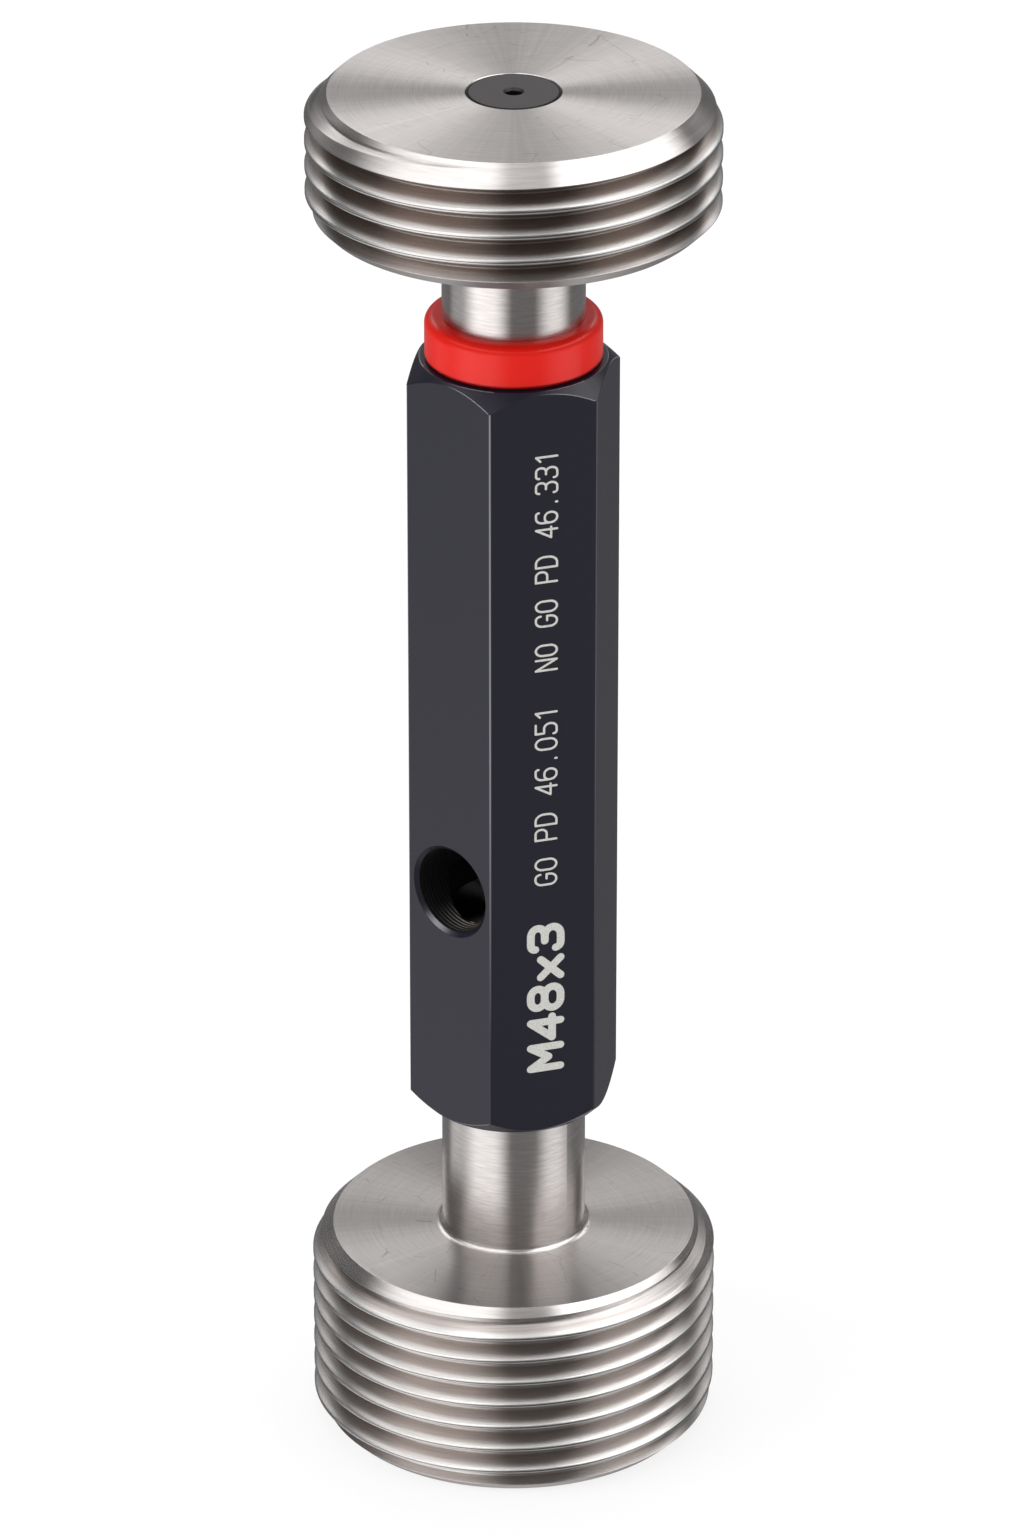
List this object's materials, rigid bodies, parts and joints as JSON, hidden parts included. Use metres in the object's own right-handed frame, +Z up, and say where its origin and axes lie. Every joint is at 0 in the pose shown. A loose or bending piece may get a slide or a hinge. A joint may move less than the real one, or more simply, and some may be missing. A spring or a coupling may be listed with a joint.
{
  "type": "thread plug gauge",
  "caption": "Double-ended thread plug gauge: long GO head and short red-ringed NO-GO head, taper-seated in a black hexagon handle with a cross hole.",
  "frame": {"origin": "centre of the GO head's outer face, which is the lowest point of the gauge", "axes": "+Z up the gauge's axis from the GO face to the NO-GO face; two flats of the handle are square to Y and the cross hole runs along Y"},
  "size_m": [0.048, 0.048, 0.1692],
  "materials": {
    "gauge_steel": "hardened tool steel, turned and ground",
    "handle_black": "black anodised, matte",
    "ring_red": "moulded, satin gloss",
    "plug_black": "blackened steel, faced flush"
  },
  "bodies": {
    "root": {"go_member": "gauge_steel", "no_go_member": "gauge_steel", "handle": "handle_black", "no_go_ring": "ring_red", "go_centre_plug": "plug_black", "no_go_centre_plug": "plug_black"}
  },
  "joints": []
}
